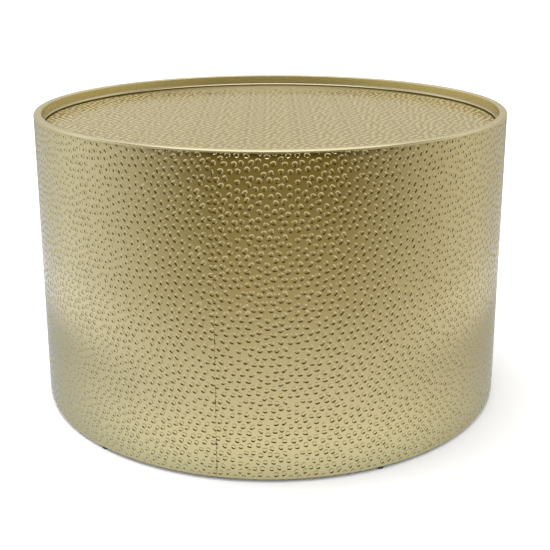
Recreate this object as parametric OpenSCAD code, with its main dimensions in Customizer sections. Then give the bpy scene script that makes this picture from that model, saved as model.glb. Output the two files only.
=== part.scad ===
// Drum coffee table: a hammered sheet drum with a smooth rolled rim, a
// recessed hammered top plate, and six small stud feet under the lower edge.
// Millimetres, +Z up. The origin is on the floor, on the drum's axis.
// The front of the table faces -Y.

/* [Drum] */
// Outer diameter of the table over the rim
table_d = 740; // [600:5:900]
// Overall height from the floor to the top of the rim
table_h = 457; // [380:1:520]
// Thickness of the rolled shell sheet
shell_t = 1.0; // [0.7:0.1:1.0]
// How far the shell's outer face sits inside the rim's outer edge
shell_inset = 0.2; // [0.1:0.1:0.4]
// Height of the shell's lower edge above the floor
shell_lift = 5; // [3:0.5:8]

/* [Seam] */
// Angle of the vertical butt seam from the front, negative to the left
seam_az = -11.5; // [-30:0.1:10]
// Width of the hairline gap between the sheet's two ends
seam_gap = 0.5; // [0.2:0.1:1.5]
// Width of the strip welded behind the seam
strip_w = 30; // [20:1:50]
// Thickness of the strip welded behind the seam
strip_t = 1; // [0.8:0.1:2]

/* [Rim] */
// Width of the smooth rim, seen from above
rim_w = 12.5; // [11:0.5:24]
// Thickness of the rim's sheet
rim_t = 1.2; // [1.2:0.1:1.6]
// Height of the rim's outer lip, above the shell's upper edge
rim_lip = 4; // [3.5:0.1:10]
// Radius of the rim's rolled edges
rim_r = 3; // [2:0.1:3.4]
// Radius of the cove at the foot of the rim's inner wall
cove_r = 6; // [4:0.5:8]
// How far round the cove turns in, in degrees
cove_a = 50; // [30:5:60]

/* [Top] */
// Depth of the top plate's face below the top of the rim
recess = 19; // [12:0.5:30]
// Gap all round between the top plate and the rim's inner wall
top_gap = 1.5; // [0.8:0.1:3]
// Thickness of the top plate's sheet
plate_t = 1; // [0.9:0.1:1.4]
// Radius of the top plate's softened upper edge
plate_r = 0.8; // [0.3:0.1:0.8]
// Thickness of the band welded on edge under the top plate's rim
band_t = 1.2; // [1:0.1:2]

/* [Frame] */
// Width of the flat ring that carries the top
ring_w = 30; // [26:1:40]
// Thickness of the flat rings
ring_t = 3; // [2:0.5:5]
// Width of the flat ring inside the lower edge
base_w = 25; // [22:1:35]
// Width of the brace tubes
brace_w = 20; // [15:1:30]
// Height of the brace tubes
brace_h = 10; // [8:0.5:15]
// Wall of the brace tubes
brace_t = 1.2; // [1:0.1:1.6]
// Distance of the four plate studs from the centre
stud_at = 180; // [120:5:220]

/* [Feet] */
// Diameter of a rubber foot where it meets the ring
foot_d = 11; // [10:0.5:11]
// Diameter of a rubber foot at the floor
foot_tip_d = 10; // [8:0.5:11]
// Distance from the rim's outer edge in to a foot's centre
foot_inset = 7.1; // [7:0.1:15]
// Height of the lower ring above the shell's lower edge
base_up = 3; // [2:0.5:8]
// Angle of the left front foot from the front, negative to the left
foot_az = -41; // [-45:0.5:-30]
// Angle between the two front feet; the other four share the rest equally
foot_gap = 65.5; // [56:0.5:70]

/* [Hidden] */
$fn = 144;
R = table_d / 2;
shell_ro = R - shell_inset;              // shell, outer face
shell_ri = shell_ro - shell_t;           // shell, inner face
shell_top = table_h - rim_lip;           // the lip stands on the shell's edge
rim_ri = R - rim_w;                      // rim, inner wall
plate_z = table_h - recess;              // face of the top plate
brace_z = plate_z - plate_t - brace_h;   // top of the carrying ring
leg_ri = rim_ri - cove_r * (1 - cos(cove_a));  // rim, inner face below the cove
plate_ro = leg_ri - top_gap;             // top plate, outer face of its edge
ring_z = brace_z - ring_t;               // underside of the carrying ring
brace_end = plate_ro - band_t - 2.5;     // reach of the brace tubes
base_z = shell_lift + base_up;           // underside of the lower ring
foot_at = R - foot_inset;

stud_d = 4;                              // M4
nut_w = 7;                               // across the flats
nut_h = 3.2;
washer_d = 9;
washer_t = 0.8;
hole_d = 4.5;

gold = [0.80, 0.71, 0.47];
dull_gold = [0.62, 0.55, 0.36];
zinc = [0.72, 0.73, 0.75];
black = [0.07, 0.07, 0.07];

// Points of an arc about c, from angle a to angle b, both ends included
function arc(c, r, a, b, n = 8) =
    [for (i = [0:n]) let (t = a + (b - a) * i / n)
        [c[0] + r * cos(t), c[1] + r * sin(t)]];

// Turns its children by an angle from the front, about the drum's axis
module around(az) { rotate([0, 0, az]) children(); }

// A plain ring, inner radius a, outer radius b, from z to z + h
module flat_ring(a, b, z, h) {
    rotate_extrude() translate([a, z]) square([b - a, h]);
}

// A hexagon nut with its hole
module hex_nut(w, h, d) {
    difference() {
        cylinder(d = w / cos(30), h = h, $fn = 6);
        translate([0, 0, -1]) cylinder(d = d, h = h + 2, $fn = 32);
    }
}

// A plain washer
module washer(d, di, h) {
    difference() {
        cylinder(d = d, h = h, $fn = 48);
        translate([0, 0, -1]) cylinder(d = di, h = h + 2, $fn = 32);
    }
}

// Hammered sheet rolled into a drum, its two ends butted at one seam
module drum_shell() {
    color(gold) difference() {
        flat_ring(shell_ri, shell_ro, shell_lift, shell_top - shell_lift);
        around(seam_az) translate([-seam_gap / 2, -R - 5, -5])
            cube([seam_gap, 20, table_h + 10]);
    }
}

// Strip welded across the back of the seam, between the two rings
module seam_strip() {
    a = strip_w / shell_ri * 180 / PI;
    z0 = base_z + ring_t + 0.5;
    color(dull_gold)
        rotate([0, 0, seam_az - 90 - a / 2]) rotate_extrude(angle = a)
            translate([shell_ri - strip_t, z0])
                square([strip_t, ring_z - 0.5 - z0]);
}

// Smooth rolled rim: an outer lip on the shell's edge, a flat top, an inner
// wall that turns in through a cove, and a leg down to the carrying ring
module rim_ring() {
    ro = R - rim_r;
    ri = rim_ri + rim_r;
    zc = table_h - rim_r;
    q = rim_r - rim_t;
    cove = [rim_ri - cove_r, plate_z + 0.5 + cove_r * sin(cove_a)];
    b = acos((leg_ri + rim_t - cove[0]) / (cove_r + rim_t));
    color(gold) rotate_extrude() polygon(concat(
        [[R, shell_top]],
        arc([ro, zc], rim_r, 0, 90),
        arc([ri, zc], rim_r, 90, 180),
        arc(cove, cove_r, 0, -cove_a),
        [[leg_ri, brace_z], [leg_ri + rim_t, brace_z]],
        arc(cove, cove_r + rim_t, -b, 0),
        arc([ri, zc], q, 180, 90),
        arc([ro, zc], q, 90, 0),
        [[R - rim_t, shell_top]]));
}

// Hammered round plate with a softened upper edge
module top_plate() {
    color(gold) rotate_extrude() polygon(concat(
        [[0, plate_z]],
        arc([plate_ro - plate_r, plate_z - plate_r], plate_r, 90, 0),
        [[plate_ro, plate_z - plate_t], [0, plate_z - plate_t]]));
}

// Band on edge under the plate's rim, which stiffens it and stands on the ring
module plate_band() {
    color(dull_gold) flat_ring(plate_ro - band_t, plate_ro, brace_z, brace_h);
}

// The four places where the top plate is fixed to its braces
module at_plate_studs() {
    for (a = [0:90:270]) rotate([0, 0, a]) translate([stud_at, 0, 0]) children();
}

// Studs welded under the top plate
module plate_studs() {
    l = plate_t + brace_h + washer_t + nut_h + 2;
    color(zinc) at_plate_studs()
        translate([0, 0, plate_z - l]) cylinder(d = stud_d, h = l - plate_t, $fn = 32);
}

module plate_washers() {
    color(zinc) at_plate_studs()
        translate([0, 0, brace_z - washer_t]) washer(washer_d, stud_d, washer_t);
}

module plate_nuts() {
    color(zinc) at_plate_studs()
        translate([0, 0, brace_z - washer_t - nut_h]) hex_nut(nut_w, nut_h, stud_d);
}

// Flat ring inside the shell that carries the rim, the plate and the braces
module support_ring() {
    color(dull_gold) flat_ring(shell_ri - ring_w, shell_ri, ring_z, ring_t);
}

// Rectangular tube along X from x0 to x1, with stud holes at the given places
module brace_tube(x0, x1, holes) {
    color(dull_gold) difference() {
        translate([x0, -brace_w / 2, brace_z]) cube([x1 - x0, brace_w, brace_h]);
        translate([x0 - 1, -brace_w / 2 + brace_t, brace_z + brace_t])
            cube([x1 - x0 + 2, brace_w - 2 * brace_t, brace_h - 2 * brace_t]);
        for (x = holes) translate([x, 0, brace_z - 1])
            cylinder(d = hole_d, h = brace_h + 2, $fn = 32);
    }
}

// One tube right across, and a half tube to each side of it
module brace_long() { brace_tube(-brace_end, brace_end, [-stud_at, stud_at]); }
module brace_front() { rotate([0, 0, -90]) brace_tube(brace_w / 2, brace_end, [stud_at]); }
module brace_back() { rotate([0, 0, 90]) brace_tube(brace_w / 2, brace_end, [stud_at]); }

// The place of foot k, counted from the left front one round to the right
module at_foot(k) {
    az = foot_az + (k == 0 ? 0 : foot_gap + (k - 1) * (360 - foot_gap) / 5);
    around(az) translate([0, -foot_at, 0]) children();
}

// Flat ring inside the shell's lower edge, drilled for the feet
module base_ring() {
    color(dull_gold) difference() {
        flat_ring(shell_ri - base_w, shell_ri, base_z, ring_t);
        for (k = [0:5]) at_foot(k) translate([0, 0, base_z - 1])
            cylinder(d = hole_d, h = ring_t + 2, $fn = 32);
    }
}

// Rubber foot moulded on the head of its stud, with softened lower edge
module foot(k) {
    c = 1;
    color(black) at_foot(k) difference() {
        rotate_extrude($fn = 48) polygon([
            [0, 0], [foot_tip_d / 2 - c, 0], [foot_tip_d / 2 - 0.3 * c, 0.3 * c],
            [foot_tip_d / 2, c], [foot_d / 2, base_z - 1.5],
            [foot_d / 2, base_z], [0, base_z]]);
        translate([0, 0, base_z - 5]) cylinder(d = stud_d, h = 6, $fn = 32);
    }
}

module foot_studs() {
    color(zinc) for (k = [0:5]) at_foot(k)
        translate([0, 0, base_z - 5])
            cylinder(d = stud_d, h = 5 + ring_t + washer_t + nut_h + 2, $fn = 32);
}

module foot_washers() {
    color(zinc) for (k = [0:5]) at_foot(k)
        translate([0, 0, base_z + ring_t]) washer(washer_d, stud_d, washer_t);
}

module foot_nuts() {
    color(zinc) for (k = [0:5]) at_foot(k)
        translate([0, 0, base_z + ring_t + washer_t]) hex_nut(nut_w, nut_h, stud_d);
}

drum_shell();
seam_strip();
rim_ring();
top_plate();
plate_band();
plate_studs();
plate_washers();
plate_nuts();
support_ring();
brace_long();
brace_front();
brace_back();
base_ring();
foot(0);  // foot_1
foot(1);  // foot_2
foot(2);  // foot_3
foot(3);  // foot_4
foot(4);  // foot_5
foot(5);  // foot_6
foot_studs();
foot_washers();
foot_nuts();
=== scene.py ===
import math

import bpy
import numpy as np
from mathutils import Matrix, Vector
from mathutils.geometry import delaunay_2d_cdt


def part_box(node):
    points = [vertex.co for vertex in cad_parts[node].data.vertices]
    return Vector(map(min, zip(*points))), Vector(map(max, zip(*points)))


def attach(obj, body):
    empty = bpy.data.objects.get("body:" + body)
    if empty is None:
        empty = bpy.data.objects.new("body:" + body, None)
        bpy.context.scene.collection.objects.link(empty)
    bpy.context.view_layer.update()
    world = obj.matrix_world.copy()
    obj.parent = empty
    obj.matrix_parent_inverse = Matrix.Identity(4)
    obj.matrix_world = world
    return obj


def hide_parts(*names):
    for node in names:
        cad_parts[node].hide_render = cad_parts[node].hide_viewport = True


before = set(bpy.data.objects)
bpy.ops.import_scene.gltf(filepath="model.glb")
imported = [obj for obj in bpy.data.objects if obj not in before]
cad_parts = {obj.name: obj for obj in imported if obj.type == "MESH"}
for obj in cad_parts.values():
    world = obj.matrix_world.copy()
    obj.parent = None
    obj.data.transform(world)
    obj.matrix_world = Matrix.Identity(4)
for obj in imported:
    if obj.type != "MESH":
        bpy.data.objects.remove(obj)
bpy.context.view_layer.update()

MM = 0.001

# ---------------------------------------------------------------- sizes (mm)
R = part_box("rim_ring")[1].x / MM                # rim, outer face
TABLE_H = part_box("rim_ring")[1].z / MM
LEG_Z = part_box("rim_ring")[0].z / MM            # foot of the rim's inner leg
SHELL_R = R - 0.2
SHELL_T = 0.8
SHELL_Z0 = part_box("drum_shell")[0].z / MM
SHELL_Z1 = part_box("drum_shell")[1].z / MM
SEAM_AZ = -11.5
PIT_Z = 54.2
PLATE_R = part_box("top_plate")[1].x / MM
PLATE_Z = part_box("top_plate")[1].z / MM
PLATE_T = 1.0
PLATE_EDGE = 0.8
RIM_W = 12.5
RIM_T = 1.2
RIM_R = 3.0
LIP_R = 5.0      # the outer edge's roll, and the angle it starts at
LIP_A = 25.0
COVE_R = 6.0
COVE_A = 50.0

# ------------------------------------------------------------ hammered tile
# The sheet's pattern is rolled in by a drum, so one tile repeats both ways.
TILE = 75.4
COUNT = 51


def wrap(d):
    return d - TILE * np.round(d / TILE)


def hammer_marks(seed):
    """Centres, depths and outlines of the hammer marks in one tile. A depth is for a profile of slope 1 and radius 1."""
    rng = np.random.RandomState(seed)
    p = rng.rand(COUNT, 2) * TILE
    for step in range(60):
        d = wrap(p[:, None] - p[None])
        r = np.hypot(d[..., 0], d[..., 1]) + np.eye(COUNT) * 1e6
        push = np.clip(11.4 - r, 0.0, None) / r
        p = (p + 0.2 * (push[..., None] * d).sum(1)) % TILE
    p = (p + rng.uniform(-1.15, 1.15, p.shape)) % TILE
    size = rng.uniform(3.65, 4.35, COUNT)
    steep = rng.uniform(0.50, 0.60, COUNT)
    e2 = rng.uniform(0.0, 0.09, COUNT) + 0.12 * (rng.rand(COUNT) < 0.3)
    a2 = rng.uniform(-1.2, 1.2, COUNT)
    e3 = rng.uniform(0.0, 0.10, COUNT)
    a3 = rng.uniform(0.0, 2.1, COUNT)

    def reach(i, phi):
        return size[i] * (1 + e2[i] * np.cos(2 * (phi - a2[i])) + e3[i] * np.cos(3 * (phi - a3[i])))

    for _ in range(60):
        d = wrap(p[None] - p[:, None])
        r = np.hypot(d[..., 0], d[..., 1])
        for i in range(COUNT):
            for j in range(i + 1, COUNT):
                if r[i, j] > 13.0:
                    continue
                phi = math.atan2(d[i, j, 1], d[i, j, 0])
                lap = reach(i, phi) + reach(j, phi + math.pi) + 0.55 - r[i, j]
                if lap > 0:
                    u = d[i, j] / r[i, j]
                    p[i] = (p[i] - 0.12 * lap * u) % TILE
                    p[j] = (p[j] + 0.12 * lap * u) % TILE
                    size[i] -= 0.05 * lap
                    size[j] -= 0.05 * lap
    return p, np.minimum(steep * size, DEEPEST / -wall(0.0)[0]), reach


FLOOR = 0.48    # a mark's flattish floor ends here, as a part of its radius
FULL = 0.62     # its wall is steepest from here
BRIM = 0.85     # to here
DISH = 0.05     # slope at the floor's edge, as a part of the wall's
DEEPEST = 0.88  # mm
CRISP = 1.35    # the shading normals lean this much more than the mesh
STEEPEST = 0.72 # but to this slope at most


def wall(rho):
    """A mark's height and slope at rho, for radius 1 and greatest slope 1: a flattish floor and a short steep wall."""
    rim = -(1 - BRIM) / 2
    full = rim - (BRIM - FULL)
    low = full - (FULL - FLOOR) * (1 + DISH) / 2
    if rho <= FLOOR:
        return low - DISH * (FLOOR - rho ** 2 / FLOOR) / 2, DISH * rho / FLOOR
    if rho <= FULL:
        t = (rho - FLOOR) / (FULL - FLOOR)
        g = DISH + (1 - DISH) * t
        return low + (FULL - FLOOR) * t * (DISH + g) / 2, g
    if rho <= BRIM:
        return full + rho - FULL, 1.0
    return rim * ((1 - rho) / (1 - BRIM)) ** 2, (1 - rho) / (1 - BRIM)


def tile_mesh(marks, rings):
    """A triangulated tile: points with height and slope, and triangles that may reach into the next tiles."""
    centres, deep, reach = marks
    pts, lift = [], []
    for i, c in enumerate(centres):
        for k, (rho, n) in enumerate(rings):
            h, g = wall(rho)
            if n == 1:
                pts.append(c)
                lift.append((h * deep[i], 0.0, 0.0))
                continue
            turn = 0.37 * i + 0.29 * k
            for m in range(n):
                phi = turn + 2 * math.pi * m / n
                a = reach(i, phi)
                way = np.array([math.cos(phi), math.sin(phi)])
                # the outline's own turn tips the wall a little sideways
                t = (reach(i, phi + 0.02) - reach(i, phi - 0.02)) / 0.04 / a
                side = np.array([way[0] + t * way[1], way[1] - t * way[0]])
                pts.append(c + a * rho * way)
                lift.append((h * deep[i], *(side * g * min(CRISP * deep[i] / a, STEEPEST))))
    pts = np.array(pts)
    shake = np.random.RandomState(5).uniform(-0.012, 0.012, pts.shape)
    pts = (pts + shake) % TILE
    lift = np.array(lift)
    ext, src, off = [], [], []
    for ox in (-1, 0, 1):
        for oy in (-1, 0, 1):
            q = pts + np.array([ox, oy]) * TILE
            near = np.all((q > -18.0) & (q < TILE + 18.0), axis=1)
            for b in np.nonzero(near)[0]:
                ext.append(q[b])
                src.append(b)
                off.append((ox, oy))
    out = delaunay_2d_cdt([Vector((float(a), float(b))) for a, b in ext], [], [], 0, 1e-7)
    where = [o[0] for o in out[3]]
    co = np.array([tuple(v) for v in out[0]])
    found = set()
    for f in out[2]:
        ids = [where[v] for v in f]
        if not any(off[t] == (0, 0) for t in ids):
            continue
        a, b, c = (co[v] for v in f)
        if (b[0] - a[0]) * (c[1] - a[1]) - (b[1] - a[1]) * (c[0] - a[0]) < 0:
            ids = ids[::-1]
        k = min(range(3), key=lambda t: src[ids[t]])
        ids = ids[k:] + ids[:k]
        o = off[ids[0]]
        found.add(tuple((src[t], off[t][0] - o[0], off[t][1] - o[1]) for t in ids))
    tri = np.array(sorted(found))
    return pts, lift, tri[..., 0], tri[..., 1:]


def cover(tile, x0, x1, y0, y1, shift=(0.0, 0.0)):
    """The tile repeated over a rectangle, whole triangles only. Points are x, y, height and the height's two slopes."""
    pts, lift, base, off = tile
    n = len(pts)
    i0, i1 = int(math.floor((x0 - shift[0]) / TILE)) - 2, int(math.ceil((x1 - shift[0]) / TILE)) + 2
    j0, j1 = int(math.floor((y0 - shift[1]) / TILE)) - 2, int(math.ceil((y1 - shift[1]) / TILE)) + 2
    ni, nj = i1 - i0 + 1, j1 - j0 + 1
    gi, gj = np.meshgrid(np.arange(i0, i1 + 1), np.arange(j0, j1 + 1), indexing="ij")
    v = np.empty((ni, nj, n, 5))
    v[..., 0] = pts[:, 0] + gi[..., None] * TILE + shift[0]
    v[..., 1] = pts[:, 1] + gj[..., None] * TILE + shift[1]
    v[..., 2:] = lift
    v = v.reshape(-1, 5)
    ci, cj = np.meshgrid(np.arange(1, ni - 1), np.arange(1, nj - 1), indexing="ij")
    t = ((ci[..., None, None] + off[None, None, ..., 0]) * nj + (cj[..., None, None] + off[None, None, ..., 1])) * n + base
    t = t.reshape(-1, 3)
    x, y = v[t][..., 0], v[t][..., 1]
    keep = (x.max(1) > x0) & (x.min(1) < x1) & (y.max(1) > y0) & (y.min(1) < y1)
    return v, t[keep]


def clip(v, t, d, snap=None):
    """Keeps the part of the mesh where d, a number per point, is not negative."""
    inside = d >= 0
    k = inside[t].sum(1)
    new, made, extra = [], {}, []

    def cut(a, b):
        key = (a, b) if a < b else (b, a)
        if key not in made:
            f = d[key[0]] / (d[key[0]] - d[key[1]])
            p = v[key[0]] * (1 - f) + v[key[1]] * f
            made[key] = len(v) + len(extra)
            extra.append(snap(p) if snap else p)
        return made[key]

    for tri in t[(k == 1) | (k == 2)]:
        poly = []
        for m in range(3):
            a, b = int(tri[m]), int(tri[(m + 1) % 3])
            if inside[a]:
                poly.append(a)
            if inside[a] != inside[b]:
                poly.append(cut(a, b))
        new.append(poly[:3])
        if len(poly) == 4:
            new.append([poly[0], poly[2], poly[3]])
    t = t[k == 3]
    if new:
        t = np.concatenate([t, np.array(new)])
        v = np.concatenate([v, np.array(extra)])
    used, t = np.unique(t, return_inverse=True)
    return v[used], t.reshape(-1, 3)


def refine(v, t, on, step):
    """Splits the border edges whose two ends are both marked by on, to at most step long."""
    marked = on(v)
    hit = marked[t].sum(1) == 2
    rest, out, extra = t[~hit], [], []
    for tri in t[hit]:
        tri = [int(q) for q in tri]
        while marked[tri[2]]:
            tri = tri[1:] + tri[:1]
        a, b, c = tri
        n = max(1, int(math.ceil(np.linalg.norm(v[a, :2] - v[b, :2]) / step)))
        chain = [a]
        for m in range(1, n):
            chain.append(len(v) + len(extra))
            extra.append(v[a] + (v[b] - v[a]) * m / n)
        chain.append(b)
        for m in range(n):
            out.append([chain[m], chain[m + 1], c])
    t = np.concatenate([rest, np.array(out)])
    if extra:
        v = np.concatenate([v, np.array(extra)])
    return v, t


def zipper(a, pa, b, pb):
    """Triangles between two chains of points that run side by side, by their parameters."""
    tris, i, j = [], 0, 0
    while i < len(a) - 1 or j < len(b) - 1:
        if j == len(b) - 1 or (i < len(a) - 1 and pa[i + 1] <= pb[j + 1]):
            tris.append((a[i], a[i + 1], b[j]))
            i += 1
        else:
            tris.append((a[i], b[j + 1], b[j]))
            j += 1
    return np.array(tris)


def chain_on(v, axis, value, along):
    ids = np.nonzero(np.abs(v[:, axis] - value) < 1e-6)[0]
    return ids[np.argsort(v[ids, along])]


# ------------------------------------------------------------- mesh helpers
def make(name, co, faces, sharp=40.0, normals=None):
    """A mesh object from points in mm. faces is a list of arrays, each of faces with the same corner count.
    normals, if given, are per corner of the first array; the other faces keep their own."""
    me = bpy.data.meshes.new(name)
    co = np.asarray(co, float) * MM
    faces = [np.asarray(f, np.int64) for f in faces if len(f)]
    corners = np.concatenate([f.reshape(-1) for f in faces])
    sizes = np.concatenate([np.full(len(f), f.shape[1]) for f in faces])
    starts = np.concatenate([[0], np.cumsum(sizes)[:-1]])
    me.vertices.add(len(co))
    me.vertices.foreach_set("co", co.reshape(-1).astype(np.float32))
    me.loops.add(len(corners))
    me.loops.foreach_set("vertex_index", corners.astype(np.int32))
    me.polygons.add(len(sizes))
    me.polygons.foreach_set("loop_start", starts.astype(np.int32))
    me.update(calc_edges=True)
    me.validate()
    me.polygons.foreach_set("use_smooth", np.ones(len(me.polygons), bool))
    me.set_sharp_from_angle(angle=math.radians(sharp))
    me.update()
    if normals is not None:
        own = np.empty(len(me.loops) * 3, np.float32)
        me.corner_normals.foreach_get("vector", own)
        own = own.reshape(-1, 3)
        own[:len(normals)] = normals
        me.normals_split_custom_set(own.tolist())
        me.update()
    ob = bpy.data.objects.new(name, me)
    bpy.context.scene.collection.objects.link(ob)
    return ob


def revolve(name, profile, n, closed=True, centre=(0.0, 0.0), sharp=40.0):
    """Turns a profile of (radius, z) about a vertical axis. It runs counter-clockwise in the radius-z plane."""
    prof = np.asarray(profile, float)
    a = np.arange(n) * 2 * math.pi / n
    on_axis = prof[:, 0] < 1e-9
    co, index = [], []
    for (r, z), axis in zip(prof, on_axis):
        if axis:
            index.append(np.full(n, len(co)))
            co.append((centre[0], centre[1], z))
        else:
            index.append(np.arange(n) + len(co))
            co.extend(zip(centre[0] + r * np.cos(a), centre[1] + r * np.sin(a), np.full(n, z)))
    quads, tris = [], []
    m = len(prof)
    for k in range(m if closed else m - 1):
        p, q = index[k], index[(k + 1) % m]
        p2, q2 = np.roll(p, -1), np.roll(q, -1)
        if on_axis[k] and on_axis[(k + 1) % m]:
            continue
        if on_axis[k]:
            tris.append(np.stack([p, q2, q], 1))
        elif on_axis[(k + 1) % m]:
            tris.append(np.stack([p, p2, q], 1))
        else:
            quads.append(np.stack([p, p2, q2, q], 1))
    faces = []
    if quads:
        faces.append(np.concatenate(quads))
    if tris:
        faces.append(np.concatenate(tris))
    return make(name, co, faces, sharp)


def arc(cx, cz, r, a, b, n):
    return [(cx + r * math.cos(math.radians(a + (b - a) * i / n)), cz + r * math.sin(math.radians(a + (b - a) * i / n))) for i in range(n + 1)]


def wave(x, seed, octaves):
    """Smooth seeded noise along a line, about -1 to 1."""
    rng = np.random.RandomState(seed)
    y = np.zeros_like(x)
    for length, amp in octaves:
        knots = rng.uniform(-1, 1, int(600 / length) + 3)
        y += amp * np.interp(x / length, np.arange(len(knots)), knots)
    return y


# ---------------------------------------------------------------- materials
def nodes_of(name):
    mat = bpy.data.materials.new(name)
    mat.use_nodes = True
    nt = mat.node_tree
    nt.nodes.clear()
    out = nt.nodes.new("ShaderNodeOutputMaterial")
    sh = nt.nodes.new("ShaderNodeBsdfPrincipled")
    nt.links.new(sh.outputs["BSDF"], out.inputs["Surface"])
    return mat, nt, sh


def noise(nt, co, scale, detail=2.0, rough=0.5):
    n = nt.nodes.new("ShaderNodeTexNoise")
    n.inputs["Scale"].default_value = scale
    n.inputs["Detail"].default_value = detail
    n.inputs["Roughness"].default_value = rough
    nt.links.new(co, n.inputs["Vector"])
    return n.outputs["Fac"]


def remap(nt, src, a, b, lo, hi):
    n = nt.nodes.new("ShaderNodeMapRange")
    n.clamp = True
    for key, val in (("From Min", a), ("From Max", b), ("To Min", lo), ("To Max", hi)):
        n.inputs[key].default_value = val
    nt.links.new(src, n.inputs["Value"])
    return n.outputs["Result"]


def blend(nt, fac, a, b):
    n = nt.nodes.new("ShaderNodeMix")
    n.data_type = "RGBA"
    nt.links.new(fac, n.inputs["Factor"])
    for key, val in ((6, a), (7, b)):
        if hasattr(val, "links"):
            nt.links.new(val, n.inputs[key])
        else:
            n.inputs[key].default_value = (*val, 1.0)
    return n.outputs[2]


def calc(nt, op, a, b=None):
    n = nt.nodes.new("ShaderNodeMath")
    n.operation = op
    for k, val in enumerate((a, b)):
        if val is None:
            continue
        if hasattr(val, "links"):
            nt.links.new(val, n.inputs[k])
        else:
            n.inputs[k].default_value = val
    return n.outputs[0]


def bump(nt, src, strength, distance):
    n = nt.nodes.new("ShaderNodeBump")
    n.inputs["Strength"].default_value = strength
    n.inputs["Distance"].default_value = distance
    nt.links.new(src, n.inputs["Height"])
    return n.outputs["Normal"]


def gold(name, light, deep, rough, seam=False, metal=1.0, groove=False, edge=(0.95, 0.93, 0.88), dull=False):
    """Champagne gold lacquer on metal: slow tone drift, cloudy gloss and a faint orange peel."""
    mat, nt, sh = nodes_of(name)
    co = nt.nodes.new("ShaderNodeTexCoord").outputs["Object"]
    drift = remap(nt, noise(nt, co, 3.2, 3.0), 0.3, 0.7, 0.0, 1.0)
    colour = blend(nt, drift, deep, light)
    haze = remap(nt, noise(nt, co, 45.0, 3.0, 0.6), 0.3, 0.7, rough - 0.025, rough + 0.035)
    grain = noise(nt, co, 1500.0, 2.0, 0.6)
    if seam:
        # soot and pits left along the butt weld, and painted shade in the one larger pit
        sep = nt.nodes.new("ShaderNodeSeparateXYZ")
        nt.links.new(co, sep.inputs[0])
        az = calc(nt, "ARCTAN2", sep.outputs["X"], calc(nt, "MULTIPLY", sep.outputs["Y"], -1.0))
        s = calc(nt, "MULTIPLY", calc(nt, "ABSOLUTE", calc(nt, "SUBTRACT", az, math.radians(SEAM_AZ))), SHELL_R * MM)
        wide = remap(nt, noise(nt, co, 55.0, 2.0), 0.42, 0.72, 0.0004, 0.0016)
        near = calc(nt, "LESS_THAN", s, wide)
        pits = remap(nt, noise(nt, co, 160.0, 2.0), 0.50, 0.60, 0.0, 0.8)
        low = remap(nt, sep.outputs["Z"], 0.16, 0.30, 1.0, 0.12)
        mark = calc(nt, "MULTIPLY", near, calc(nt, "MULTIPLY", pits, low))
        colour = blend(nt, mark, colour, (0.09, 0.07, 0.03))
        # painted shade: the larger pit at PIT_Z is painted near-black, standing in for the shade in its hollow
        up = calc(nt, "MULTIPLY", calc(nt, "ABSOLUTE", calc(nt, "SUBTRACT", sep.outputs["Z"], PIT_Z * MM)), 1.25)
        reach = calc(nt, "SQRT", calc(nt, "ADD", calc(nt, "POWER", s, 2.0), calc(nt, "POWER", up, 2.0)))
        colour = blend(nt, remap(nt, reach, 0.0016, 0.0022, 1.0, 0.0), colour, (0.02, 0.015, 0.006))
        n = nt.nodes.new("ShaderNodeMath")
        n.operation = "MULTIPLY_ADD"
        nt.links.new(mark, n.inputs[0])
        n.inputs[1].default_value = 0.3
        nt.links.new(haze, n.inputs[2])
        haze = n.outputs[0]
    if groove:
        # painted shade: a deeper, more saturated gold on the inner wall, weaker towards the cove, and dark in the
        # narrow gap under the cove
        sep = nt.nodes.new("ShaderNodeSeparateXYZ")
        nt.links.new(co, sep.inputs[0])
        r = calc(nt, "SQRT", calc(nt, "ADD", calc(nt, "POWER", sep.outputs["X"], 2.0), calc(nt, "POWER", sep.outputs["Y"], 2.0)))
        # painted shade: the rim's inner wall gets a deeper, olive-leaning gold standing in for its shaded band,
        # strongest high up and off at the top edge
        inner = remap(nt, r, (R - RIM_W + 0.2) * MM, (R - RIM_W + 1.6) * MM, 1.0, 0.0)
        inner = calc(nt, "MULTIPLY", inner, remap(nt, sep.outputs["Z"], (PLATE_Z + 5.0) * MM, (PLATE_Z + 7.0) * MM, 0.0, 1.0))
        inner = calc(nt, "MULTIPLY", inner, remap(nt, sep.outputs["Z"], (PLATE_Z + 6.0) * MM, (PLATE_Z + 13.0) * MM, 0.55, 1.0))
        inner = calc(nt, "MULTIPLY", inner, remap(nt, sep.outputs["Z"], (TABLE_H - 3.4) * MM, (TABLE_H - 1.4) * MM, 1.0, 0.0))
        colour = blend(nt, inner, colour, (0.57, 0.48, 0.20))
        # painted shade: dark brown in the narrow gap just above the plate, under the cove
        gap_shade = remap(nt, sep.outputs["Z"], (PLATE_Z + 1.5) * MM, (PLATE_Z + 2.1) * MM, 1.0, 0.0)
        colour = blend(nt, gap_shade, colour, (0.15, 0.105, 0.018))
        haze = calc(nt, "ADD", haze, calc(nt, "MULTIPLY", gap_shade, 0.5))
    if dull:
        # duller under the rim at the back
        sep = nt.nodes.new("ShaderNodeSeparateXYZ")
        nt.links.new(co, sep.inputs[0])
        haze = calc(nt, "ADD", haze, remap(nt, sep.outputs["Y"], 0.24, 0.33, 0.0, 0.30))
    nt.links.new(colour, sh.inputs["Base Color"])
    nt.links.new(haze, sh.inputs["Roughness"])
    nt.links.new(bump(nt, grain, 0.10, 0.00003), sh.inputs["Normal"])
    sh.inputs["Metallic"].default_value = metal
    sh.inputs["Specular Tint"].default_value = (*edge, 1.0)
    return mat


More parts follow.
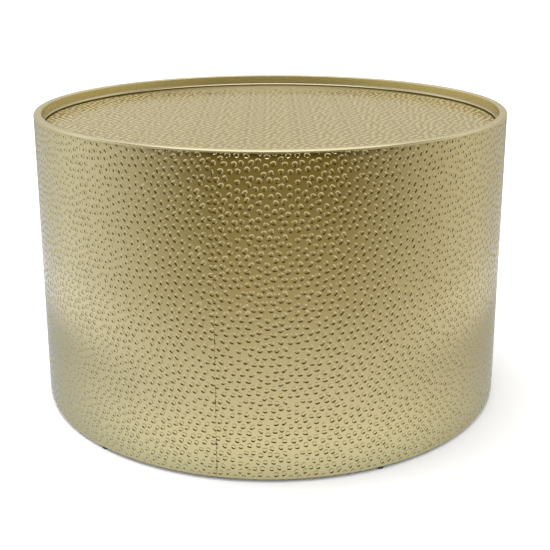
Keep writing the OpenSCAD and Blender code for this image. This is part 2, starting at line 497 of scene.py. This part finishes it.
GOLD_LIGHT = (0.56, 0.475, 0.262)
GOLD_DEEP = (0.53, 0.445, 0.238)
shell_mat = gold("gold_hammered_shell", GOLD_LIGHT, GOLD_DEEP, 0.095, seam=True, edge=(0.82, 0.84, 0.865))
plate_mat = gold("gold_hammered_top", GOLD_LIGHT, GOLD_DEEP, 0.15, dull=True)
rim_mat = gold("gold_smooth_rim", (0.48, 0.42, 0.25), (0.45, 0.39, 0.225), 0.22, metal=0.78, groove=True)


def overspray(name, seam_shade=False):
    """Dull gold overspray, thin and speckled, on the welded frame inside. With seam_shade it is painted near-black
    behind the seam: painted shade in the hairline gap.
    """
    mat, nt, sh = nodes_of(name)
    co = nt.nodes.new("ShaderNodeTexCoord").outputs["Object"]
    patch = remap(nt, noise(nt, co, 9.0, 4.0, 0.6), 0.35, 0.7, 0.0, 1.0)
    speck = remap(nt, noise(nt, co, 420.0, 2.0, 0.7), 0.45, 0.65, 0.0, 0.35)
    colour = blend(nt, patch, (0.36, 0.30, 0.155), (0.45, 0.38, 0.205))
    colour = blend(nt, speck, colour, (0.22, 0.19, 0.11))
    if seam_shade:
        # painted shade: near-black on the strip where it shows through the seam's hairline gap
        sep = nt.nodes.new("ShaderNodeSeparateXYZ")
        nt.links.new(co, sep.inputs[0])
        az = calc(nt, "ARCTAN2", sep.outputs["X"], calc(nt, "MULTIPLY", sep.outputs["Y"], -1.0))
        s = calc(nt, "MULTIPLY", calc(nt, "ABSOLUTE", calc(nt, "SUBTRACT", az, math.radians(SEAM_AZ))), SHELL_R * MM)
        colour = blend(nt, remap(nt, s, 0.0012, 0.0022, 1.0, 0.0), colour, (0.012, 0.009, 0.004))
    nt.links.new(colour, sh.inputs["Base Color"])
    nt.links.new(remap(nt, noise(nt, co, 120.0, 3.0), 0.3, 0.7, 0.42, 0.6), sh.inputs["Roughness"])
    nt.links.new(bump(nt, noise(nt, co, 900.0, 2.0), 0.25, 0.00008), sh.inputs["Normal"])
    sh.inputs["Metallic"].default_value = 0.85
    return mat


def rubber(name):
    mat, nt, sh = nodes_of(name)
    co = nt.nodes.new("ShaderNodeTexCoord").outputs["Object"]
    dust = remap(nt, noise(nt, co, 260.0, 3.0, 0.6), 0.45, 0.75, 0.0, 1.0)
    nt.links.new(blend(nt, dust, (0.012, 0.012, 0.012), (0.032, 0.031, 0.030)), sh.inputs["Base Color"])
    nt.links.new(remap(nt, dust, 0.0, 1.0, 0.55, 0.8), sh.inputs["Roughness"])
    nt.links.new(bump(nt, noise(nt, co, 1400.0, 2.0), 0.3, 0.00006), sh.inputs["Normal"])
    return mat


def zinc(name):
    mat, nt, sh = nodes_of(name)
    co = nt.nodes.new("ShaderNodeTexCoord").outputs["Object"]
    cloud = remap(nt, noise(nt, co, 300.0, 3.0, 0.6), 0.35, 0.65, 0.0, 1.0)
    nt.links.new(blend(nt, cloud, (0.50, 0.52, 0.54), (0.66, 0.67, 0.66)), sh.inputs["Base Color"])
    nt.links.new(remap(nt, cloud, 0.0, 1.0, 0.42, 0.28), sh.inputs["Roughness"])
    nt.links.new(bump(nt, noise(nt, co, 2200.0, 2.0), 0.2, 0.00004), sh.inputs["Normal"])
    sh.inputs["Metallic"].default_value = 1.0
    return mat


frame_mat = overspray("gold_overspray_frame")
strip_mat = overspray("gold_overspray_strip", seam_shade=True)
rubber_mat = rubber("black_rubber_foot")
zinc_mat = zinc("zinc_plated_steel")


def dress(ob, mat):
    ob.data.materials.clear()
    ob.data.materials.append(mat)


# ------------------------------------------------------------------- pieces
EDGE = 1.4      # radius of the shell's rolled-in lower edge
marks = hammer_marks(23)
fine = tile_mesh(marks, [(0.0, 1), (FLOOR, 9), (FULL, 12), (BRIM, 15), (1.0, 16)])
coarse = tile_mesh(marks, [(0.0, 1), (1.0, 7)])


def build_shell():
    """The rolled sheet with its hammer marks sunk into the outer face and standing out inside."""
    length = 2 * math.pi * SHELL_R
    low = SHELL_Z0 + EDGE

    def face(tile, edge_step):
        v, t = cover(tile, 0.0, length, low, SHELL_Z1, (0.0, 31.0))
        for at in (0.0, length):
            d = v[:, 0] - at
            v[:, 0] = np.where(np.abs(d) < 0.9, at + np.where(d < 0, -0.9, 0.9), v[:, 0])
        for at in (low, SHELL_Z1):
            d = v[:, 1] - at
            v[:, 1] = np.where(np.abs(d) < 0.3, at + np.where(d < 0, -0.3, 0.3), v[:, 1])
        v, t = clip(v, t, v[:, 0])
        v, t = clip(v, t, length - v[:, 0])
        v, t = clip(v, t, v[:, 1] - low)
        v, t = clip(v, t, SHELL_Z1 - v[:, 1])
        if edge_step:
            v, t = refine(v, t, lambda p: np.abs(p[:, 0]) < 1e-6, edge_step)
            v, t = refine(v, t, lambda p: np.abs(p[:, 0] - length) < 1e-6, edge_step)
        v[:, 2:] *= np.clip((v[:, 1] - low) / 1.6, 0.0, 1.0)[:, None]
        return v, t

    vo, to = face(fine, 0.55)
    vi, ti = face(coarse, None)
    # the lower edge rolls in
    last = chain_on(vo, 1, low, 0)
    for turn in (25.0, 50.0, 75.0):
        turn = math.radians(turn)
        row = vo[last].copy()
        row[:, 1] = SHELL_Z0 if turn > 1.2 else low - EDGE * math.sin(turn)
        row[:, 2] = -EDGE * (1 - math.cos(turn)) * 0.62
        row[:, 3] = 0.0
        row[:, 4] = math.tan(turn) * 0.62
        new = np.arange(len(row)) + len(vo)
        vo = np.concatenate([vo, row])
        to = np.concatenate([to, np.stack([last[:-1], new[:-1], new[1:]], 1), np.stack([last[:-1], new[1:], last[1:]], 1)])
        last = new
    n = len(vo)
    sides, strips = [], []
    for k, (axis, value, along) in enumerate(((0, 0.0, 1), (0, length, 1), (1, SHELL_Z0, 0), (1, SHELL_Z1, 0))):
        a, b = chain_on(vo, axis, value, along), chain_on(vi, axis, low if k == 2 else value, along)
        sides.append((a, b))
        z = zipper(a, vo[a, along], b + n, vi[b, along])
        strips.append(z[:, ::-1] if k in (1, 2) else z)
    # ground smooth beside the seam, more on the left of it and higher up
    for v in (vo, vi):
        left = length - v[:, 0]
        worn = np.clip((v[:, 1] - 120.0) / 220.0, 0.25, 1.0)
        fade = 1 - 0.80 * worn * np.clip(1.35 - left / 4.6, 0.0, 1.0)
        fade *= 1 - 0.55 * worn * np.clip(1.25 - v[:, 0] / 3.0, 0.0, 1.0)
        v[:, 2:] *= fade[:, None]
    near = np.minimum(vo[:, 0], length - vo[:, 0])
    rough = np.clip(1.2 - near / 3.2, 0.0, 1.0)
    hum = wave(vo[:, 1], 9, ((3.1, 0.07), (7.7, 0.10)))
    vo[:, 2] += rough * (hum - 0.05)
    vo[:, 4] += rough * np.gradient(wave(np.arange(0, 460, 0.5), 9, ((3.1, 0.07), (7.7, 0.10))), 0.5)[np.clip((vo[:, 1] * 2).astype(int), 0, 919)]
    # the sheet's two ends: a ragged hairline with a few pits where the weld was ground
    for k, (value, sign) in enumerate(((0.0, 1.0), (length, -1.0))):
        ids = sides[k][0]
        z = vo[ids, 1]
        low = np.clip((330.0 - z) / 200.0, 0.25, 1.0)
        back = 0.05 + low * (0.06 + 0.22 * np.clip(wave(z, 71 + k, ((2.6, 0.45), (9.0, 0.6), (31.0, 0.6))), -0.3, 1.0))
        for at, wide, deep in ((36.5, 1.2, 0.3), (58.5, 1.0, 0.25), (118.0, 0.9, 0.3), (207.0, 0.9, 0.3), (300.5, 1.6, 0.5), (421.0, 1.3, 0.45), (12.0, 1.3, 0.3)):
            back = back + deep * np.exp(-((z - at) / wide) ** 2)
        vo[ids, 0] = value + sign * np.clip(back, 0.05, 0.8)
        vo[ids, 2] -= 0.06
        ids = sides[k][1]
        vi[ids, 0] = value + sign * 0.05
    # one larger pit, the sheet round it drawn aside
    for value, sign in ((0.0, 1.0), (length, -1.0)):
        off = sign * (vo[:, 0] - value)
        vo[:, 0] += sign * 1.15 * np.exp(-((vo[:, 1] - PIT_Z) / 1.15) ** 2) * np.clip(1 - off / 5.0, 0.0, 1.0)
    # the sheet leans in a little where it runs up to the rim, and is never quite true
    for v in (vo, vi):
        lean = np.clip((v[:, 1] - (SHELL_Z1 - 8.0)) / 8.0, 0.0, 1.0)
        az = v[:, 0] / SHELL_R
        v[:, 4] *= 1 + 0.8 * lean * np.exp(-((az - math.radians(10.5)) / math.radians(7.0)) ** 2)
        v[:, 2] += -0.15 * lean ** 2 - 0.05 * (1 + np.sin(3 * az + 0.6) * np.sin(v[:, 1] / 90.0 + 1.0)) * np.clip((SHELL_Z1 - v[:, 1]) / 60.0, 0, 1) * np.clip((v[:, 1] - SHELL_Z0) / 60.0, 0, 1)
        v[:, 4] += -0.88 / 8.0 * lean
    co, nor = [], None
    for v, inner in ((vo, False), (vi, True)):
        az = math.radians(SEAM_AZ) + v[:, 0] / SHELL_R
        rad = SHELL_R + v[:, 2] - (SHELL_T if inner else 0.0)
        sa, ca = np.sin(az), np.cos(az)
        co.append(np.stack([rad * sa, -rad * ca, v[:, 1]], 1))
        if not inner:
            nor = np.stack([sa - v[:, 3] * ca, -ca - v[:, 3] * sa, -v[:, 4]], 1)
            nor /= np.linalg.norm(nor, axis=1)[:, None]
    faces = np.concatenate([to, ti[:, ::-1] + n] + strips)
    return make("drum_shell_hammered", np.concatenate(co), [faces], normals=nor[to.reshape(-1)])


def build_plate():
    """The hammered disc and its softened edge."""
    rc = PLATE_R - PLATE_EDGE

    def face(tile, lift):
        v, t = cover(tile, -rc, rc, -rc, rc, (12.0, 7.0))
        r = np.hypot(v[:, 0], v[:, 1])
        d = r - rc
        s = np.where(np.abs(d) < 0.3, (rc + np.where(d < 0, -0.3, 0.3)) / np.maximum(r, 1.0), 1.0)
        v[:, :2] *= s[:, None]
        r = np.hypot(v[:, 0], v[:, 1])

        def onto(p):
            p = p.copy()
            p[:2] *= rc / math.hypot(p[0], p[1])
            return p

        v, t = clip(v, t, rc - r, onto)
        r = np.hypot(v[:, 0], v[:, 1])
        back = np.clip(v[:, 1] / np.maximum(r, 1.0), 0.0, 1.0) ** 2
        v[:, 2:] *= 0.66 * (np.clip((rc + 0.001 - r) / (2.2 + 24.0 * back), 0.0, 1.0) ** 0.7)[:, None]
        v[:, 3:] *= 1.3 * (1 - 0.7 * back * np.clip(1 - (rc - r) / 110.0, 0.0, 1.0))[:, None]
        v[:, 2] += lift
        edge = np.nonzero(np.abs(r - rc) < 1e-6)[0]
        edge = edge[np.argsort(np.arctan2(v[edge, 1], v[edge, 0]))]
        return v, t, edge

    vo, to, eo = face(fine, PLATE_Z)
    vi, ti, ei = face(coarse, PLATE_Z - PLATE_T)
    nor = np.stack([-vo[:, 3], -vo[:, 4], np.ones(len(vo))], 1)
    nor /= np.linalg.norm(nor, axis=1)[:, None]
    ang = np.arctan2(vo[eo, 1], vo[eo, 0])
    prof = arc(rc, PLATE_Z - PLATE_EDGE, PLATE_EDGE, 90, 0, 5)[1:]
    prof += [(PLATE_R, PLATE_Z - PLATE_T + 0.1), (PLATE_R - 0.1, PLATE_Z - PLATE_T), (rc - 0.4, PLATE_Z - PLATE_T)]
    co = [vo[:, :3], vi[:, :3]]
    base = len(vo) + len(vi)
    faces = [to, ti[:, ::-1] + len(vo)]
    last = eo
    quads = []
    m = len(eo)
    for r, z in prof:
        ring = np.arange(m) + base
        co.append(np.stack([r * np.cos(ang), r * np.sin(ang), np.full(m, z)], 1))
        quads.append(np.stack([last, ring, np.roll(ring, -1), np.roll(last, -1)], 1))
        last = ring
        base += m
    # the last ring meets the underside, whose own outer points are drawn in to it
    bi = ei + len(vo)
    angi = np.arctan2(vi[ei, 1], vi[ei, 0])
    co[1][ei, 0] = (rc - 0.8) * np.cos(angi)
    co[1][ei, 1] = (rc - 0.8) * np.sin(angi)
    a = np.concatenate([last, last[:1]])
    pa = np.concatenate([ang, [ang[0] + 2 * math.pi]])
    b = np.concatenate([bi, bi[:1]])
    pb = np.concatenate([angi, [angi[0] + 2 * math.pi]])
    faces.append(zipper(a, pa, b, pb)[:, ::-1])
    return make("top_plate_hammered", np.concatenate(co), [np.concatenate(faces), np.concatenate(quads)], normals=nor[to.reshape(-1)])


def build_rim():
    """The smooth rolled rim: outer lip, flat top, inner wall, cove and leg."""
    ro, ri, zc, q = R - RIM_R, R - RIM_W + RIM_R, TABLE_H - RIM_R, RIM_R - RIM_T
    lip = LIP_R * math.cos(math.radians(LIP_A))
    wall = R - RIM_W
    leg = wall - COVE_R * (1 - math.cos(math.radians(COVE_A)))
    cx, cz = wall - COVE_R, PLATE_Z + 1.9 + COVE_R * math.sin(math.radians(COVE_A))
    b = math.degrees(math.acos((leg + RIM_T - cx) / (COVE_R + RIM_T)))
    prof = [(R - 0.25, SHELL_Z1), (R, SHELL_Z1 + 0.25), (R, TABLE_H - LIP_R * (1 - math.sin(math.radians(LIP_A))) - 0.2)]
    prof += arc(R - lip - 0.04, TABLE_H - LIP_R, LIP_R, LIP_A, 90, 14)
    prof += arc(ri, zc, RIM_R, 90, 180, 12)
    prof += [(wall, zc - 4.0), (wall, cz + 0.3)]
    prof += arc(cx, cz, COVE_R, 0, -COVE_A, 12)
    prof += [(leg, cz - COVE_R * math.sin(math.radians(COVE_A)) - 0.5), (leg, LEG_Z), (leg + RIM_T, LEG_Z)]
    prof += arc(cx, cz, COVE_R + RIM_T, -b, 0, 6)
    prof += arc(ri, zc, q, 180, 90, 5)
    prof += arc(ro, zc, q, 90, 0, 5)
    prof += [(R - RIM_T, SHELL_Z1)]
    return revolve("rim_ring_smooth", prof, 480)


def build_foot(k):
    """A moulded rubber button with soft edges and a shallow ring round its sole."""
    lo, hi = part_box("foot_%d" % k)
    cx, cy = (lo.x + hi.x) / 2 / MM, (lo.y + hi.y) / 2 / MM
    top = hi.z / MM
    prof = [(0.0, 0.35), (1.6, 0.35), (2.0, 0.0), (3.9, 0.0)]
    prof += arc(4.1, 0.9, 0.9, -90, -5, 5)
    prof += [(5.15, 2.6), (5.4, top - 1.7), (5.5, top - 1.1), (5.5, top - 0.35), (5.2, top), (0.0, top)]
    return revolve("foot_%d_rubber" % k, prof, 64, closed=False, centre=(cx, cy), sharp=50)


shell = build_shell()
dress(shell, shell_mat)
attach(shell, "root")
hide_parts("drum_shell")

plate = build_plate()
dress(plate, plate_mat)
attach(plate, "root")
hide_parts("top_plate")

rim = build_rim()
dress(rim, rim_mat)
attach(rim, "root")
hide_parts("rim_ring")

for k in range(1, 7):
    foot = build_foot(k)
    dress(foot, rubber_mat)
    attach(foot, "root")
    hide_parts("foot_%d" % k)

for name in ("seam_strip", "plate_band", "support_ring", "brace_long", "brace_front", "brace_back", "base_ring"):
    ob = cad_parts[name]
    dress(ob, strip_mat if name == "seam_strip" else frame_mat)
    if name not in ("seam_strip", "plate_band"):
        bev = ob.modifiers.new("soft_edges", "BEVEL")
        bev.width = 0.0004
        bev.segments = 2
        bev.limit_method = "ANGLE"
        bev.angle_limit = math.radians(40)
        bev.use_clamp_overlap = True
for name in ("plate_studs", "plate_washers", "plate_nuts", "foot_studs", "foot_washers", "foot_nuts"):
    dress(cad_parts[name], zinc_mat)

# ------------------------------------------------------------ floor, lights
floor_mat, nt, sh = nodes_of("pale_floor")
sh.inputs["Base Color"].default_value = (0.70, 0.70, 0.70, 1.0)
sh.inputs["Roughness"].default_value = 0.9
sh.inputs["Specular IOR Level"].default_value = 0.1
me = bpy.data.meshes.new("floor")
me.from_pydata([(-40, -40, 0), (40, -40, 0), (40, 40, 0), (-40, 40, 0)], [], [(0, 1, 2, 3)])
floor = bpy.data.objects.new("floor", me)
bpy.context.scene.collection.objects.link(floor)
dress(floor, floor_mat)

ROOM_R = 6.0
ROOM_H = 5.0


def ramp_of(nt, src, stops):
    n = nt.nodes.new("ShaderNodeValToRGB")
    nt.links.new(src, n.inputs["Fac"])
    cr = n.color_ramp
    cr.elements[0].position, cr.elements[0].color = stops[0][0], (*stops[0][1], 1.0)
    cr.elements[1].position, cr.elements[1].color = stops[-1][0], (*stops[-1][1], 1.0)
    for at, colour in stops[1:-1]:
        cr.elements.new(at).color = (*colour, 1.0)
    return n.outputs["Color"]


def tint(nt, fac, colour, by):
    n = nt.nodes.new("ShaderNodeMix")
    n.data_type = "RGBA"
    n.blend_type = "MULTIPLY"
    nt.links.new(fac, n.inputs["Factor"])
    nt.links.new(colour, n.inputs[6])
    n.inputs[7].default_value = (*by, 1.0)
    return n.outputs[2]


def grey(*pairs):
    return [(at, (val, val, val)) for at, val in pairs]


def room_part(name, rings, front, rest, height, turn=(18.0, 102.0), far=0.85, edge=1.0):
    """A part of the studio that only reflections see, turned from rings of (radius, z).
    front and rest are the ramps on the camera's side and elsewhere, over the radius or over the height."""
    n = 96
    co = [(r * math.sin(2 * math.pi * i / n), -r * math.cos(2 * math.pi * i / n), z) for r, z in rings for i in range(n)]
    quads = [(k * n + i, k * n + (i + 1) % n, (k + 1) * n + (i + 1) % n, (k + 1) * n + i) for k in range(len(rings) - 1) for i in range(n)]
    me = bpy.data.meshes.new(name)
    me.from_pydata(co, [], quads)
    ob = bpy.data.objects.new(name, me)
    bpy.context.scene.collection.objects.link(ob)
    mat = bpy.data.materials.new(name)
    mat.use_nodes = True
    nt = mat.node_tree
    nt.nodes.clear()
    out = nt.nodes.new("ShaderNodeOutputMaterial")
    sep = nt.nodes.new("ShaderNodeSeparateXYZ")
    nt.links.new(nt.nodes.new("ShaderNodeTexCoord").outputs["Object"], sep.inputs[0])
    x, y, z = (sep.outputs[k] for k in "XYZ")
    if height:
        along = remap(nt, z, 0.0, ROOM_H, 0.0, 1.0)
    else:
        dist = calc(nt, "SQRT", calc(nt, "ADD", calc(nt, "POWER", x, 2.0), calc(nt, "POWER", y, 2.0)))
        along = remap(nt, dist, 0.0, ROOM_R, 0.0, 1.0)
    az = calc(nt, "ARCTAN2", x, calc(nt, "MULTIPLY", y, -1.0))
    mask = remap(nt, calc(nt, "ABSOLUTE", calc(nt, "SUBTRACT", az, math.radians(2.0))), math.radians(turn[0]), math.radians(turn[1]), 1.0, 0.0)
    mask.node.interpolation_type = "SMOOTHSTEP"
    colour = blend(nt, mask, ramp_of(nt, along, rest), ramp_of(nt, along, front))
    # cooler on the left-hand side, and dimmer at the back and on the right
    colour = tint(nt, remap(nt, calc(nt, "SINE", az), -1.0, -0.1, 1.0, 0.0), colour, (0.98, 1.03, 1.15))
    side = remap(nt, calc(nt, "SINE", az), -1.0, 1.0, 1.05, 0.94)
    side = calc(nt, "MULTIPLY", side, remap(nt, calc(nt, "ABSOLUTE", az), math.radians(100.0), math.radians(150.0), 1.0, far))
    side = calc(nt, "MULTIPLY", side, remap(nt, calc(nt, "ABSOLUTE", az), math.radians(136.0), math.radians(152.0), 1.0, edge))
    glow = nt.nodes.new("ShaderNodeEmission")
    nt.links.new(colour, glow.inputs["Color"])
    nt.links.new(side, glow.inputs["Strength"])
    nt.links.new(glow.outputs[0], out.inputs["Surface"])
    mat.cycles.emission_sampling = "NONE"
    ob.data.materials.append(mat)
    ob.visible_camera = False
    ob.visible_diffuse = False
    ob.visible_shadow = False
    ob.visible_transmission = False
    ob.visible_volume_scatter = False
    return ob


room_part("room_floor", [(0.374, 0.0012), (0.6, 0.002), (1.2, 0.004), (2.5, 0.01), (4.0, 0.02), (ROOM_R, 0.03)],
          [(0.0623, (0.79, 0.85, 0.85)), (0.068, (1.07, 1.13, 1.14)), (0.078, (1.21, 1.23, 1.21)), (0.090, (1.10, 1.10, 1.09)), (0.100, (1.03, 1.03, 1.01)), (0.127, (0.88, 0.86, 0.79)), (0.167, (0.67, 0.61, 0.47)),
           (0.222, (0.52, 0.46, 0.29)), (0.288, (0.40, 0.34, 0.175)), (0.367, (0.30, 0.242, 0.094)), (0.50, (0.21, 0.164, 0.045)),
           (0.75, (0.15, 0.115, 0.03)), (1.0, (0.11, 0.085, 0.02))],
          [(0.075, (0.66, 0.67, 0.67)), (0.10, (0.74, 0.75, 0.75)), (0.12, (1.12, 1.12, 1.14)), (0.14, (1.22, 1.22, 1.25)), (0.165, (1.10, 1.10, 1.10)), (0.25, (1.03, 1.02, 0.98)), (1.0, (0.98, 0.96, 0.86))], False, far=0.70, edge=0.60)
room_part("room_wall", [(ROOM_R, 0.0), (ROOM_R, ROOM_H)],
          [(0.0, (0.12, 0.095, 0.022)), (0.10, (0.11, 0.087, 0.018)), (1.0, (0.11, 0.087, 0.018))],
          [(0.0, (0.78, 0.76, 0.66)), (0.22, (0.70, 0.67, 0.56)), (0.34, (0.78, 0.75, 0.64)), (0.55, (0.98, 0.96, 0.88)), (1.0, (1.6, 1.6, 1.55))], True)
room_part("room_ceiling", [(ROOM_R, ROOM_H), (0.05, ROOM_H)],
          [(0.0, (2.4, 2.4, 2.4)), (0.48, (2.4, 2.4, 2.4)), (0.555, (0.13, 0.10, 0.022)), (1.0, (0.12, 0.095, 0.020))],
          grey((0.0, 2.0), (0.2, 1.75), (0.6, 1.65), (1.0, 1.55)), False, (95.0, 150.0))

world = bpy.data.worlds.new("studio")
bpy.context.scene.world = world
world.use_nodes = True
nt = world.node_tree
nt.nodes.clear()
out = nt.nodes.new("ShaderNodeOutputWorld")
bg = nt.nodes.new("ShaderNodeBackground")
bg.inputs["Color"].default_value = (1.0, 1.0, 1.0, 1.0)
bg.inputs["Strength"].default_value = 2.0
nt.links.new(bg.outputs[0], out.inputs["Surface"])
world.cycles_visibility.glossy = False

sun = bpy.data.lights.new("key", "SUN")
sun.energy = 1.4
sun.angle = math.radians(35)
ob = bpy.data.objects.new("key", sun)
bpy.context.scene.collection.objects.link(ob)
ob.rotation_euler = Vector((0.42, -0.16, -1.0)).to_track_quat("-Z", "Y").to_euler()
ob.visible_glossy = False

# ------------------------------------------------------------------- camera
pitch, roll = math.radians(14.403), math.radians(-0.186)
fwd = Vector((0, math.cos(pitch), -math.sin(pitch)))
right = Vector((1, 0, 0))
up = Vector((0, math.sin(pitch), math.cos(pitch)))
r2 = right * math.cos(roll) + up * math.sin(roll)
u2 = up * math.cos(roll) - right * math.sin(roll)
cam = bpy.data.cameras.new("camera")
cam_ob = bpy.data.objects.new("camera", cam)
bpy.context.scene.collection.objects.link(cam_ob)
m = Matrix((r2, u2, -fwd)).transposed().to_4x4()
m.translation = Vector((0.0, -1.5073, 0.6925))
cam_ob.matrix_world = m
cam.sensor_width = 36.0
cam.lens = 946.4 / 550 * 36.0
cam.shift_x = (275 - 270.53) / 550
cam.shift_y = (195 - 275) / 550
cam.clip_end = 200.0
bpy.context.scene.camera = cam_ob
bpy.context.scene.view_settings.view_transform = "Standard"
